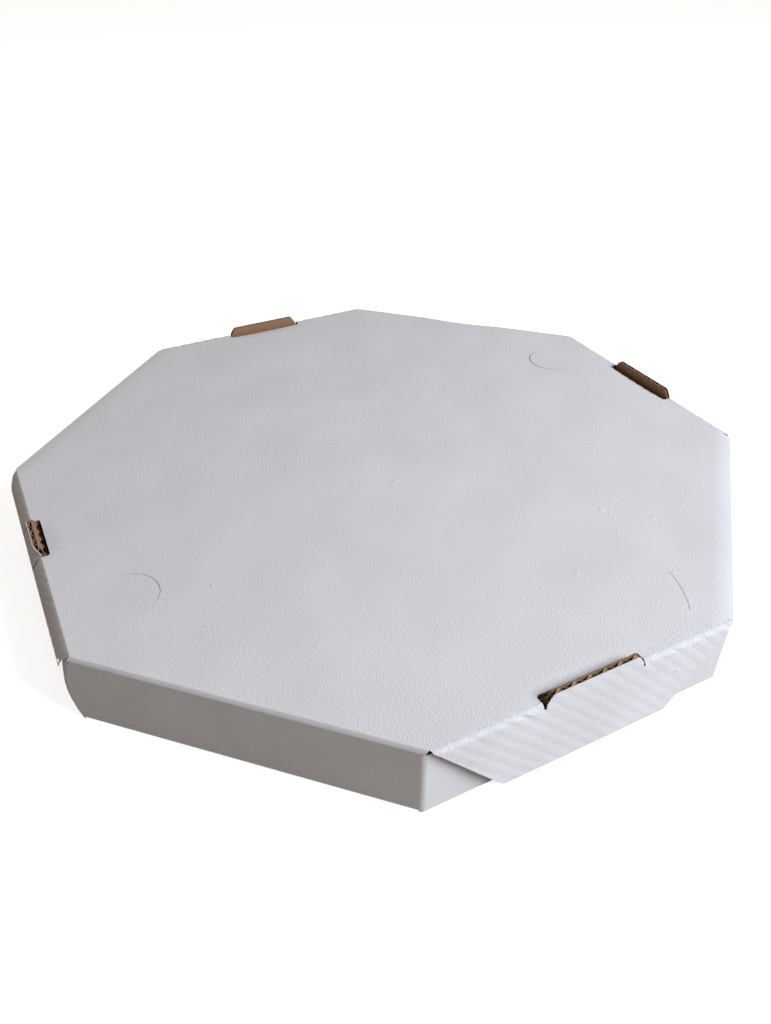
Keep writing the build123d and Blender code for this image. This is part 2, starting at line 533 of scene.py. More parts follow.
class Recipe:
    """Node tree of one material or sky."""

    def __init__(self, owner: bpy.types.Material | bpy.types.World) -> None:
        """Start a tree that holds only its output."""
        self.owner = owner
        owner.use_nodes = True
        self.tree = owner.node_tree
        self.tree.nodes.clear()
        kind = "World" if isinstance(owner, bpy.types.World) else "Material"
        self.output = self.node(f"ShaderNodeOutput{kind}", {}, {})

    @classmethod
    def material(cls, name: str) -> "Recipe":
        """Start a new material."""
        return cls(bpy.data.materials.new(name))

    def node(
        self, kind: str, settings: dict[str, object], inputs: dict[str | int, object],
    ) -> bpy.types.Node:
        """Add a node.

        Args:
            kind: type of the node.
            settings: its properties, set first.
            inputs: values or links of its sockets.

        Returns:
            The new node.
        """
        node = self.tree.nodes.new(kind)
        for key, setting in settings.items():
            setattr(node, key, setting)
        for key, entry in inputs.items():
            socket = node.inputs[key]
            if isinstance(entry, Value):
                self.tree.links.new(entry.socket, socket)
            elif isinstance(entry, bpy.types.NodeSocket):
                self.tree.links.new(entry, socket)
            else:
                socket.default_value = entry
        return node

    def show(self, shader: bpy.types.Node) -> None:
        """Link a shader to the output."""
        self.tree.links.new(shader.outputs[0], self.output.inputs["Surface"])

    def blend(self, amount: object, first: bpy.types.Node, second: bpy.types.Node) -> bpy.types.Node:
        """Mix of two shaders."""
        return self.node("ShaderNodeMixShader", {}, {0: amount, 1: first.outputs[0], 2: second.outputs[0]})

    def sheet(self, grain: Point) -> bpy.types.NodeSocket:
        """Place on the flat sheet, counted in grains of a given width and length."""
        flat = self.node("ShaderNodeUVMap", {"uv_map": SHEET_UV}, {})
        scale = (1 / grain[0], 1 / grain[1], 1)
        places = {0: flat.outputs[0], 1: scale}
        return self.node("ShaderNodeVectorMath", {"operation": "MULTIPLY"}, places).outputs[0]

    def noise(self, grain: Point, detail: float = 2.0) -> Value:
        """Noise whose lumps have a given width and length on the sheet."""
        inputs = {"Vector": self.sheet(grain), "Scale": 1.0, "Detail": detail}
        return Value(self, self.node("ShaderNodeTexNoise", {}, inputs).outputs[0])

    def cells(self, grain: Point) -> tuple[Value, Value]:
        """Scattered spots on the sheet: the distance to the nearest one, and its own chance value."""
        node = self.node("ShaderNodeTexVoronoi", {}, {"Vector": self.sheet(grain), "Scale": 1.0})
        split = self.node("ShaderNodeSeparateColor", {}, {0: node.outputs["Color"]})
        return Value(self, node.outputs["Distance"]), Value(self, split.outputs[0])

    def mix(self, amount: Value, first: object, second: object) -> bpy.types.NodeSocket:
        """Blend of two colours."""
        node = self.node(
            "ShaderNodeMix", {"data_type": "RGBA", "clamp_factor": True}, {0: amount, 6: first, 7: second}
        )
        return node.outputs[2]

    def finish(
        self, colour: object, roughness: object, height: Value, specular: float,
    ) -> bpy.types.Material:
        """Close the material.

        Args:
            colour: colour or its socket.
            roughness: roughness or its value.
            height: relief in millimetres.
            specular: specular level.

        Returns:
            The finished material.
        """
        bump = self.node("ShaderNodeBump", {}, {"Height": height, "Distance": MM, "Strength": 1.0})
        shader = self.node("ShaderNodeBsdfPrincipled", {}, {
            "Base Color": colour, "Roughness": roughness, "Specular IOR Level": specular,
            "Normal": bump.outputs[0],
        })
        self.show(shader)
        return self.owner


class Finish(ABC):
    """Look of one kind of paper."""

    @abstractmethod
    def material(self) -> bpy.types.Material:
        """Make the material."""


@dataclass(frozen=True)
class WhiteLiner(Finish):
    """Uncoated white paper with a pebbled face, faint clouds, rows of small blisters and a few specks."""

    name: str = "white_liner"
    colour: Colour = (0.74, 0.735, 0.75)
    shade: Colour = (0.665, 0.66, 0.67)
    speck: Colour = (0.25, 0.22, 0.19)
    pebble: Point = (0.8 * MM, 2.2 * MM)
    fibre: Point = (0.4 * MM, 1.2 * MM)
    cloud: Point = (38.0 * MM, 60.0 * MM)
    blister: Point = (5.5 * MM, 5.8 * MM)
    patch: Point = (95.0 * MM, 80.0 * MM)
    speck_spacing: Point = (21.0 * MM, 21.0 * MM)
    crumple: Point = (1.7 * MM, 1.7 * MM)
    patch_edge: Point = (0.54, 0.70)
    blister_edge: Point = (0.55, 0.95)
    blister_share: Point = (0.55, 0.9)
    speck_edge: Point = (0.975, 0.985)
    speck_share: Point = (0.70, 0.72)
    tone_edge: Point = (0.28, 0.70)
    tone_shares: Colour = (0.5, 0.35, 0.15)
    pebble_height: float = 0.21
    fibre_height: float = 0.08
    blister_height: float = 0.20
    relief: float = 1.0
    creased: float = 0.0
    roughness: float = 0.72
    rough_fibre: float = 0.16
    specular: float = 0.35

    def material(self) -> bpy.types.Material:
        """Make the material."""
        recipe = Recipe.material(self.name)
        pebble = recipe.noise(self.pebble, 2.0)
        fibre = recipe.noise(self.fibre, 1.5)
        cloud = recipe.noise(self.cloud)
        distance, chance = recipe.cells(self.blister)
        patch = recipe.noise(self.patch).above(*self.patch_edge)
        blister = (1.0 - distance).above(*self.blister_edge) * chance.above(*self.blister_share) * patch
        away, luck = recipe.cells(self.speck_spacing)
        speck = (1.0 - away).above(*self.speck_edge) * luck.above(*self.speck_share)
        shares = self.tone_shares
        tone = cloud * shares[0] + pebble * shares[1] + fibre * shares[2]
        paper = recipe.mix(tone.above(*self.tone_edge), (*self.shade, 1), (*self.colour, 1))
        spotted = recipe.mix(speck, paper, (*self.speck, 1))
        height = pebble * self.pebble_height + fibre * self.fibre_height + blister * self.blister_height
        height = height * self.relief + recipe.noise(self.crumple, 2.5) * self.creased
        return recipe.finish(spotted, self.roughness + self.rough_fibre * fibre, height, self.specular)


@dataclass(frozen=True)
class KraftPaper(Finish):
    """Brown paper with fibres, used for the inner liner and, darker, for the fluting."""

    name: str
    colour: Colour
    shade: Colour
    fleck: Colour = (0.60, 0.46, 0.31)
    fibre: Point = (0.45 * MM, 3.0 * MM)
    cloud: Point = (14.0 * MM, 30.0 * MM)
    streak: Point = (1.3 * MM, 45.0 * MM)
    fleck_spacing: Point = (2.4 * MM, 6.0 * MM)
    fleck_edge: Point = (0.80, 0.95)
    fleck_share: Point = (0.75, 0.85)
    fleck_strength: float = 0.5
    tone_edge: Point = (0.30, 0.70)
    tone_shares: Colour = (0.45, 0.3, 0.25)
    fibre_height: float = 0.06
    streak_height: float = 0.02
    roughness: float = 0.78
    rough_fibre: float = 0.14
    specular: float = 0.3

    def material(self) -> bpy.types.Material:
        """Make the material."""
        recipe = Recipe.material(self.name)
        fibre = recipe.noise(self.fibre, 3.0)
        cloud = recipe.noise(self.cloud)
        streak = recipe.noise(self.streak)
        away, luck = recipe.cells(self.fleck_spacing)
        fleck = (1.0 - away).above(*self.fleck_edge) * luck.above(*self.fleck_share)
        shares = self.tone_shares
        tone = fibre * shares[0] + cloud * shares[1] + streak * shares[2]
        paper = recipe.mix(tone.above(*self.tone_edge), (*self.shade, 1), (*self.colour, 1))
        flecked = recipe.mix(fleck * self.fleck_strength, paper, (*self.fleck, 1))
        height = fibre * self.fibre_height + streak * self.streak_height
        return recipe.finish(flecked, self.roughness + self.rough_fibre * fibre, height, self.specular)


@dataclass(frozen=True)
class Papers:
    """Materials of the board's plies."""

    white: bpy.types.Material
    smooth: bpy.types.Material
    # crease: the white liner painted a shade darker, painted shade for the plain flaps' crease strips
    crease: bpy.types.Material
    kraft: bpy.types.Material
    fluting: bpy.types.Material

    @classmethod
    def mixed(cls) -> "Papers":
        """Make all of them."""
        white = WhiteLiner()
        smooth = WhiteLiner("smooth_liner", relief=0.35)
        # The creased liner is the white liner painted a shade darker. This painted shade tones down the
        # lamp light that the crease strips catch, and it also gets a crumpled bump.
        crease = WhiteLiner("crease_liner_painted_shade", (0.70, 0.695, 0.71), (0.62, 0.615, 0.625), creased=0.4)
        kraft = KraftPaper("kraft_liner", (0.32, 0.18, 0.105), (0.265, 0.147, 0.084), (0.46, 0.32, 0.20))
        fluting = KraftPaper("fluting", (0.36, 0.24, 0.15), (0.25, 0.16, 0.095))
        return cls(*[finish.material() for finish in (white, smooth, crease, kraft, fluting)])

    def dress(self, obj: bpy.types.Object, face: bpy.types.Material) -> None:
        """Give a ply its face, with a brown back behind a white one."""
        back = self.fluting if face is self.fluting else self.kraft
        obj.data.materials[Ply.FACE.value] = face
        obj.data.materials[Ply.BACK.value] = back


def no_relief(x: np.ndarray, y: np.ndarray, across: np.ndarray) -> np.ndarray:
    """Relief of a plain panel."""
    return np.zeros_like(x)


@dataclass
class Panel:
    """Flat panel of board, cut out ply by ply with its white face up at height 0.

    Attributes:
        name: name of the panel.
        outline: outline of the white liner.
        inner: outline of the fluting and the brown liner.
        flute_turn: turn to the sheet that the panel is cut from, where the flutes run along X.
        sag: how far the liners sink between the flute tips.
        relief: how far the white face lies below its plane, at a place on the panel and across the flutes.
        holes: outlines cut out of all plies.
        smooth: whether its white face is smooth, as on the tray.
        even_half: half width of the middle where nothing changes along the flutes.
    """

    name: str
    outline: list[Point]
    inner: list[Point]
    flute_turn: float
    sag: float
    relief: Relief = no_relief
    holes: list[list[Point]] = field(default_factory=list)
    smooth: bool = False
    even_half: float = 0.0

    def cut(self, board: Board, papers: Papers) -> bpy.types.Object:
        """Make the plies, cut them, and glue them together.

        Args:
            board: the board's section.
            papers: materials of its plies.

        Returns:
            The panel in its own place, unfolded.
        """
        back = -self.flute_turn

        def drop(places: np.ndarray) -> np.ndarray:
            """White face's depth below its plane, at places on the sheet."""
            cos, sin = math.cos(back), math.sin(back)
            x = cos * places[:, 0] - sin * places[:, 1]
            y = sin * places[:, 0] + cos * places[:, 1]
            return self.relief(x, y, places[:, 1]) + self.sag * board.hollow(places[:, 1]) ** 2

        def white(places: np.ndarray) -> np.ndarray:
            """Upper face of the white liner."""
            places[:, 2] = -drop(places)
            return places

        def brown(places: np.ndarray) -> np.ndarray:
            """Lower face of the brown liner."""
            places[:, 2] = -board.thickness + self.sag * (1 - board.hollow(places[:, 1]))
            return places

        def flutes(places: np.ndarray) -> np.ndarray:
            """Middle of the wavy ply, pressed down with the white liner until it is flat."""
            swing = board.thickness / 2 - board.liner - board.medium / 2
            wave = board.wave(places[:, 1])
            pressed = np.minimum(drop(places), 2 * swing)
            places[:, 2] = -board.thickness / 2 + swing * wave - pressed * (0.5 + 0.5 * wave)
            return places

        rows, medium_rows = board.rows_per_flute, board.medium_rows_per_flute
        even = self.even_half
        plies = [
            self._ply("white", self.outline, board, rows, white, board.liner, -1.0, even),
            self._ply("fluting", self.inner, board, medium_rows, flutes, board.medium, 0.0, even),
            self._ply("brown", self.inner, board, rows, brown, board.liner, 1.0, math.inf if even else 0.0),
        ]
        white_face = papers.smooth if self.smooth else papers.white
        for ply, face in zip(plies, (white_face, papers.fluting, papers.kraft)):
            papers.dress(ply, face)
        panel = Bench.join(self.name, plies)
        Bench.lay_out(panel, lambda places: places[:, :2])
        return Bench.put(panel, Matrix.Rotation(back, 4, "Z"))

    def _ply(
        self, kind: str, outline: list[Point], board: Board, rows_per_flute: int,
        surface: Callable[[np.ndarray], np.ndarray], thickness: float, offset: float, even_half: float,
    ) -> bpy.types.Object:
        """One ply, shaped on the sheet and then cut with the panel's die.

        Args:
            kind: name of the ply.
            outline: its outline on the panel.
            board: the board's section.
            rows_per_flute: rows of faces in one flute.
            surface: shapes the flat sheet.
            thickness: thickness of the paper.
            offset: side of the surface that the paper lies on, from -1 to 1.
            even_half: half width of the ply's even middle.

        Returns:
            The cut ply, on the sheet.
        """
        die_points = turned(outline, self.flute_turn)
        step = board.pitch / rows_per_flute
        xs = [x for x, _ in die_points]
        ys = [y for _, y in die_points]
        first = math.floor(min(ys) / step) - 1
        last = math.ceil(max(ys) / step) + 1
        lines = board.columns(min(xs) - board.liner, max(xs) + board.liner, even_half)
        columns = len(lines) - 1
        name = f"{self.name}_{kind}"
        ply = Bench.grid(name, (0, first * step), (columns, last * step), columns, last - first)
        for _ in Ply:
            ply.data.materials.append(None)

        def spread(places: np.ndarray) -> np.ndarray:
            """Put the columns in their places and shape the sheet."""
            places[:, 0] = np.interp(places[:, 0], np.arange(columns + 1), lines)
            return surface(places)

        Bench.shape(ply, spread)
        Bench.thicken(ply, thickness, offset)
        room = 2 * board.thickness
        die = Bench.prism("die", die_points, -room, room)
        for hole in self.holes:
            punch = Bench.prism("punch", turned(hole, self.flute_turn), -2 * room, 2 * room)
            Bench.trim(die, punch, "DIFFERENCE")
        Bench.trim(ply, die, "INTERSECT")
        return ply


class Section(ABC):
    """Line that a folded liner follows from one panel to the next, seen along the crease."""

    @abstractmethod
    def line(self, t: np.ndarray) -> tuple[np.ndarray, np.ndarray, np.ndarray, np.ndarray]:
        """Place and outward normal at a share of the way, out from the crease and up."""

    @abstractmethod
    def flat(self, t: np.ndarray) -> np.ndarray:
        """Distance from the crease on the flat sheet."""


@dataclass(frozen=True)
class RoundFold(Section):
    """Even bend from a flat panel down through an angle."""

    angle: float
    radius: float

    @property
    def reach(self) -> float:
        """Distance from the crease to where the bend begins."""
        return self.radius * math.tan(self.angle / 2)

    def line(self, t: np.ndarray) -> tuple[np.ndarray, np.ndarray, np.ndarray, np.ndarray]:
        """Place and outward normal on the arc."""
        sin, cos = np.sin(self.angle * t), np.cos(self.angle * t)
        return self.radius * sin - self.reach, self.radius * (cos - 1), sin, cos

    def flat(self, t: np.ndarray) -> np.ndarray:
        """Distance from the crease on the flat sheet."""
        return self.reach * (2 * t - 1)


@dataclass(frozen=True)
class FacetFold(Section):
    """Square bend with a nearly flat facet, as a crease along the flutes gives."""

    reach: float
    drop: float
    flatness: float = 1.25

    def line(self, t: np.ndarray) -> tuple[np.ndarray, np.ndarray, np.ndarray, np.ndarray]:
        """Place and outward normal on the facet."""
        sin, cos = np.sin(math.pi / 2 * t), np.cos(math.pi / 2 * t)
        power = 2 / self.flatness
        out = np.abs(sin) ** power
        up = np.abs(cos) ** power
        return self.reach * (out - 1), self.drop * (up - 1), sin, cos

    def flat(self, t: np.ndarray) -> np.ndarray:
        """Distance from the crease on the flat sheet."""
        return (self.reach + self.drop) * t - self.reach

    def depth(self, distance: np.ndarray, own: float, other: float) -> np.ndarray:
        """Depth of the facet below a panel that it leaves.

        Args:
            distance: distance from the crease along the panel.
            own: where the facet begins on this panel.
            other: where it ends on the other panel.

        Returns:
            Depth, which is 0 beyond the facet.
        """
        share = np.clip(1 - distance / own, 0, 1) ** self.flatness
        return other * (1 - (1 - share) ** (1 / self.flatness))


@dataclass(frozen=True)
class InnerFold(Section):
    """Small bead of brown liner in the inside corner of a fold, given by its two ends."""

    start: Point
    end: Point
    bulge: float = 0.25 * MM

    def line(self, t: np.ndarray) -> tuple[np.ndarray, np.ndarray, np.ndarray, np.ndarray]:
        """Place and outward normal on the bead."""
        run = Vector(self.end) - Vector(self.start)
        side = Vector((-run.y, run.x)).normalized()
        swell = self.bulge * np.sin(math.pi * t)
        out = self.start[0] + run.x * t + side.x * swell
        up = self.start[1] + run.y * t + side.y * swell
        return out, up, np.full_like(t, side.x), np.full_like(t, side.y)

    def flat(self, t: np.ndarray) -> np.ndarray:
        """Distance from the crease on the flat sheet."""
        return self.start[0] + (self.end[0] - self.start[0]) * t


def level_end(place: float) -> Callable[[np.ndarray], np.ndarray]:
    """End of a strip that lies at one place along the crease, whatever the distance from it."""
    return lambda distance: np.full_like(distance, place)


@dataclass
class FoldStrip:
    """Strip of liner bent round a crease, made at the hinge side with the crease along X.

    Attributes:
        name: name of the strip.
        section: line that it follows.
        starts: where its first end lies along the crease, at a distance from the crease.
        stops: where its last end lies along the crease, at a distance from the crease.
        sheet: gives the flat sheet's coordinates from the distance along and out from the crease.
        dent: depth of the dents between the flute tips.
        step: spacing of its columns.
        rows: faces across the fold.
    """

    name: str
    section: Section
    starts: Callable[[np.ndarray], np.ndarray]
    stops: Callable[[np.ndarray], np.ndarray]
    sheet: Callable[[np.ndarray, np.ndarray], np.ndarray]
    dent: float
    step: float = 0.8 * MM
    rows: int = 10

    def bend(self, board: Board, papers: Papers, face: bpy.types.Material) -> bpy.types.Object:
        """Make the strip with the crease at the origin.

        Args:
            board: the board's section.
            papers: materials of its plies.
            face: material of the strip's outer face.

        Returns:
            The strip.
        """
        middle = np.zeros(1)
        length = float((self.stops(middle) - self.starts(middle))[0])
        columns = max(2, round(length / self.step))
        strip = Bench.grid(self.name, (0, 0), (1, 1), columns, self.rows)
        for _ in Ply:
            strip.data.materials.append(None)
        flat_places = []

        def bent(places: np.ndarray) -> np.ndarray:
            """Lay the unit grid along the crease and round the fold."""
            t = 1 - places[:, 1]
            distance = self.section.flat(t)
            start = self.starts(distance)
            along = start + places[:, 0] * (self.stops(distance) - start)
            flat = self.sheet(along, distance)
            flat_places.append(flat)
            out, up, normal_out, normal_up = self.section.line(t)
            depth = board.ripple(flat[:, 1], distance, self.dent)
            return np.stack([along, -(out - depth * normal_out), up - depth * normal_up], axis=1)

        Bench.shape(strip, bent)
        flat = flat_places[0]
        Bench.lay_out(strip, lambda places: flat)
        papers.dress(strip, face)
        Bench.thicken(strip, board.liner, -1.0)
        return strip


@dataclass
class Lid:
    """Flat top of the box, with its tab slots, half-moon vents, short slit and finger notch."""

    sizes: BoxSizes
    board: Board
    papers: Papers
    sag: float = 0.02 * MM
    dent: float = 0.42 * MM
    edge_drop: float = 0.5 * MM
    edge_reach: float = 2.5 * MM
    worn_drop: float = 1.3 * MM
    worn_reach: float = 5.0 * MM
    slot_drop: float = 0.9 * MM
    slot_reach: float = 2.6 * MM
    slot_fade: float = 4.0
    vent_radius: float = 16.0 * MM
    open_kerf: float = 0.55 * MM
    shut_kerf: float = 0.28 * MM
    vent_along: float = 55.0 * MM
    vent_inset: float = 34.0 * MM
    slit_length: float = 28.0 * MM
    slit_bow: float = 1.6 * MM
    slit_along: float = 73.0 * MM
    slit_inset: float = 26.0 * MM
    slit_lean: float = math.radians(68.0)
    notch_length: float = 62.0 * MM
    notch_depth: float = 3.0 * MM
    notch_steps: int = 16
    inner_gap: float = 0.3 * MM

    def build(self) -> bpy.types.Object:
        """Cut the lid's panel and lay it in its place."""
        sizes = self.sizes
        insets = {side: sizes.flap_inset(side) for side in FLAP_SIDES}
        outline = octagon(sizes.apothem, {Side.NEAR: sizes.hinge_lap, **insets})
        ends = {Side.NEAR: sizes.board + self.inner_gap, ROLLED_SIDE: sizes.flap_inset(ROLLED_SIDE)}
        inner = octagon(sizes.apothem, ends)
        holes = [self._slot(side) for side in FLAP_SIDES]
        holes += [self._vent(Side.BACK_RIGHT, self.open_kerf), self._vent(Side.FRONT_LEFT, self.shut_kerf)]
        holes += [self._short_slit(), self._notch()]
        even_half = sizes.crossing(sizes.apothem, sizes.apothem) - self.worn_reach
        panel = Panel(
            "lid_board", outline, inner, 0.0, self.sag, self._relief, holes, even_half=even_half,
        )
        lid = Bench.put(panel.cut(self.board, self.papers), Matrix.Translation((0, 0, sizes.height)))
        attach(lid, "lid")
        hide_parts("lid_panel")
        return lid

    def _slot(self, side: Side) -> list[Point]:
        """Opening that a raised tab leaves."""
        sizes = self.sizes
        low, high = sizes.tab_span(side)
        first, last = low - sizes.slot_clearance, high + sizes.slot_clearance
        inner = -sizes.crease_plane + sizes.slot_depth(side)
        outer = -sizes.crease_plane - sizes.board
        corner = sizes.slot_corner
        corners = [(first, outer, 0), (last, outer, 0), (last, inner, corner), (first, inner, corner)]
        return turned(rounded(corners), side.turn)

    def _vent(self, side: Side, kerf: float) -> list[Point]:
        """Half-moon slit that bulges inwards."""
        middle = (self.vent_along, -self.sizes.apothem + self.vent_inset)
        return turned(arc_band(middle, self.vent_radius, kerf, 0.0, math.pi), side.turn)

    def _short_slit(self) -> list[Point]:
        """Short bowed slit beside the front right flap."""
        radius, spread = bow(self.slit_length, self.slit_bow)
        low = -math.pi / 2
        slit = arc_band((0, radius - self.slit_bow), radius, self.shut_kerf, low - spread, low + spread, 10)
        along, out = self.slit_along, self.slit_inset - self.sizes.apothem
        place = [(x + along, y + out) for x, y in turned(slit, self.slit_lean)]
        return turned(place, Side.FRONT_RIGHT.turn)

    def _notch(self) -> list[Point]:
        """Shallow bow out of the edge that is lifted to open the box."""
        half = self.notch_length / 2
        radius, spread = bow(self.notch_length, self.notch_depth)
        steps = self.notch_steps
        edge = self.sizes.apothem
        centre = edge - self.notch_depth + radius
        angles = [-math.pi / 2 - spread + 2 * spread * step / steps for step in range(steps + 1)]
        arc = [(radius * math.cos(angle), centre + radius * math.sin(angle)) for angle in angles]
        return arc + [(half, edge + self.notch_depth), (-half, edge + self.notch_depth)]

    def _relief(self, x: np.ndarray, y: np.ndarray, across: np.ndarray) -> np.ndarray:
        """Crushed free edges, dents along the flap creases and pressed-in slot edges."""
        sizes = self.sizes
        drop = np.zeros_like(x)
        crushed = (self.edge_drop, self.edge_reach)
        edges = {Side.RIGHT: (self.worn_drop, self.worn_reach), Side.FAR: crushed, Side.LEFT: crushed}
        for side, (depth, reach) in edges.items():
            inset = sizes.apothem - (x * math.sin(side.turn) - y * math.cos(side.turn))
            drop += depth * np.clip(1 - inset / reach, 0, 1) ** 2
        for side in FLAP_SIDES:
            along = x * math.cos(side.turn) + y * math.sin(side.turn)
            inset = sizes.crease_plane - (x * math.sin(side.turn) - y * math.cos(side.turn))
            low, high = sizes.tab_span(side)
            if side is not ROLLED_SIDE:
                dents = self.board.ripple(across, inset, self.dent)
                drop += np.where((along > low) & (along < high), 0, dents)
            from_slot = (inset - sizes.slot_depth(side)) / self.slot_reach
            from_middle = (2 * along - low - high) / (high - low)
            fade = np.exp(-np.clip(from_slot, 0, None) ** 2) * np.exp(-from_middle ** 4)
            drop += self.slot_drop * np.where(inset < self.slot_fade * sizes.slot_depth(side), fade, 0)
        return drop


@dataclass
class Flap:
    """Flap on a diagonal side of the lid, with the tab that stands up in line with it."""

    sizes: BoxSizes
    board: Board
    papers: Papers
    side: Side
    sag: float = 0.10 * MM
    dent: float = 0.42 * MM
    rolled_dent: float = 0.2 * MM
    torn_lean: float = math.radians(32.0)
    torn_margin: float = 0.1 * MM

    @property
    def body(self) -> str:
        """Body that the flap moves with."""
        return f"flap_{self.side.label}"

    @property
    def rolled(self) -> bool:
        """Whether this flap's crease is rolled over."""
        return self.side is ROLLED_SIDE

    def fold(self) -> Matrix:
        """Turn about the crease, from the flat lid to the closed flap."""
        crease = Matrix.Translation((0, -self.sizes.crease_plane, 0))
        lift = Matrix.Translation((0, 0, self.sizes.height))
        bend = crease @ Matrix.Rotation(self.sizes.fold_angle, 4, "X") @ crease.inverted()
        return self.side.spin @ lift @ bend

    def build(self) -> list[bpy.types.Object]:
        """Cut the flap, fold it down, and bend the liners round its crease."""
        outline = self._outline(self.sizes.crease_drop(self.side))
        name = f"flap_board_{self.side.label}"
        panel = Panel(name, outline, outline, self.side.turn, self.sag, self._relief)
        flat = panel.cut(self.board, self.papers)
        if self.rolled:
            Bench.shape(flat, self._torn)
        flap = Bench.put(flat, self.fold())
        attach(flap, self.body)
        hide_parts(self.body)
        return [flap, self._outer_crease(), self._inner_crease()]

    def _end(self, distance: float) -> float:
        """Half length of the flap at a distance below its crease."""
        depth = self.sizes.height - self.sizes.flap_floor_gap
        return self.sizes.crease_half - self.sizes.flap_end_inset * distance / depth

    def _outline(self, start: float) -> list[Point]:
        """Outline of the flat flap and its tab, which begins at a distance below the crease."""
        sizes = self.sizes
        depth = sizes.height - sizes.flap_floor_gap
        head = self._end(start)
        foot = self._end(depth)
        low, high = sizes.tab_span(self.side)
        top = -sizes.tab_height
        corners = [
            (-foot, depth, sizes.flap_corner), (foot, depth, sizes.flap_corner), (head, start, 0),
            (high, start, 0), (high, 0.0, 0), (high - sizes.tab_taper, top, sizes.tab_corner),
            (low + sizes.tab_taper, top, sizes.tab_corner), (low, 0.0, 0), (low, start, 0),
            (-head, start, 0),
        ]
        return rounded([(x, -sizes.crease_plane - out, radius) for x, out, radius in corners])

    def _relief(self, x: np.ndarray, y: np.ndarray, across: np.ndarray) -> np.ndarray:
        """Dents that reach down from the crease."""
        low, high = self.sizes.tab_span(self.side)
        dents = self.board.ripple(across, -self.sizes.crease_plane - y, self.dent)
        return np.where((x > low) & (x < high), 0, dents)

    def _torn(self, places: np.ndarray) -> np.ndarray:
        """Bend a torn tab in behind its rolled crease, and lean it back outwards."""
        sizes = self.sizes
        low, high = sizes.tab_span(self.side)
        distance = -sizes.crease_plane - places[:, 1]
        roll = FacetFold(sizes.roll_reach, sizes.roll_drop)
        depth = roll.depth(np.clip(distance, 0, None), sizes.roll_drop, sizes.roll_reach)
        lean = math.tan(self.torn_lean) * np.clip(-distance, 0, None)
        in_span = (places[:, 0] > low - self.torn_margin) & (places[:, 0] < high + self.torn_margin)
        places[:, 2] -= np.where(in_span & (distance < sizes.roll_drop), depth - lean, 0)
        return places

    def _sheet(self, along: np.ndarray, distance: np.ndarray) -> np.ndarray:
        """Flat sheet's coordinates beside this crease."""
        out = -self.sizes.crease_plane - distance
        cos, sin = math.cos(self.side.turn), math.sin(self.side.turn)
        return np.stack([cos * along - sin * out, sin * along + cos * out], axis=1)

    def _crease_end(self, distance: np.ndarray) -> np.ndarray:
        """Half length of the crease's strip, at a distance out from the crease."""
        sizes = self.sizes
        reach, drop = sizes.crease_reach(self.side), sizes.crease_drop(self.side)
        lid_plane = sizes.apothem - sizes.flap_inset(self.side)
        corner = sizes.crossing(lid_plane, sizes.apothem - sizes.hinge_lap)
        middle = sizes.crease_half + (sizes.roll_overhang if self.rolled else 0.0)
        return np.interp(distance, (-reach, 0.0, drop), (corner, middle, self._end(drop)))

    def _crease_place(self) -> Matrix:
        """Place of the crease's middle."""
        return self.side.spin @ Matrix.Translation((0, -self.sizes.crease_plane, self.sizes.height))

    def _across(self, out: float, up: float) -> Vector:
        """Point at the crease's middle, out from it and up."""
        return self._crease_place() @ Vector((0, -out, up))

    def _outer_crease(self) -> bpy.types.Object:
        """White liner bent round the crease, on both sides of the tab; the plain flaps' creases take the
        creased liner, painted a shade darker than the white liner to tone down the lamp light they catch.
        """
        sizes = self.sizes
        section = RoundFold(sizes.fold_angle, sizes.crease)
        if self.rolled:
            section = FacetFold(sizes.roll_reach, sizes.roll_drop)
        low, high = sizes.tab_span(self.side)
        strips = []
        for hand, tab in ((-1, low - sizes.slot_clearance), (1, high + sizes.slot_clearance)):
            def corner_end(distance: np.ndarray) -> np.ndarray:
                """End at the lid's corner."""
                return hand * self._crease_end(distance)

            ends = (level_end(tab), corner_end) if hand > 0 else (corner_end, level_end(tab))
            dent = self.rolled_dent if self.rolled else self.dent
            strip = FoldStrip("bend", section, ends[0], ends[1], self._sheet, dent)
            # The plain flaps' crease strips take the darker creased liner, painted shade over the white
            # liner.
            face = self.papers.white if self.rolled else self.papers.crease
            strips.append(strip.bend(self.board, self.papers, face))
        crease = Bench.join(f"crease_{self.side.label}", strips)
        Bench.put(crease, self._crease_place())
        end = section.line(np.ones(1))
        self._across(-section.reach, 0.0)
        self._across(float(end[0][0]), float(end[1][0]))
        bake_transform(crease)
        return crease

    def _inner_crease(self) -> bpy.types.Object:
        """Brown liner in the inside corner of the crease."""
        sizes = self.sizes
        fold = Matrix.Rotation(-sizes.fold_angle, 2)
        inside = fold @ Vector((sizes.crease_drop(self.side) + sizes.board / 4, -sizes.board))
        lid_end = sizes.roll_reach if self.rolled else sizes.board + sizes.flap_gap
        first = (-lid_end, -sizes.board)
        last = (inside.x, inside.y)
        section = InnerFold(first, last)

        half = sizes.crease_half - sizes.board
        ends = level_end(-half), level_end(half)
        strip = FoldStrip("bead", section, *ends, self._sheet, dent=0.0, step=4.0 * MM, rows=6)
        bead = strip.bend(self.board, self.papers, self.papers.kraft)
        bead = Bench.join(f"crease_inside_{self.side.label}", [bead])
        Bench.put(bead, self._crease_place())
        self._across(*first)
        self._across(*last)
        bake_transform(bead)
        return bead


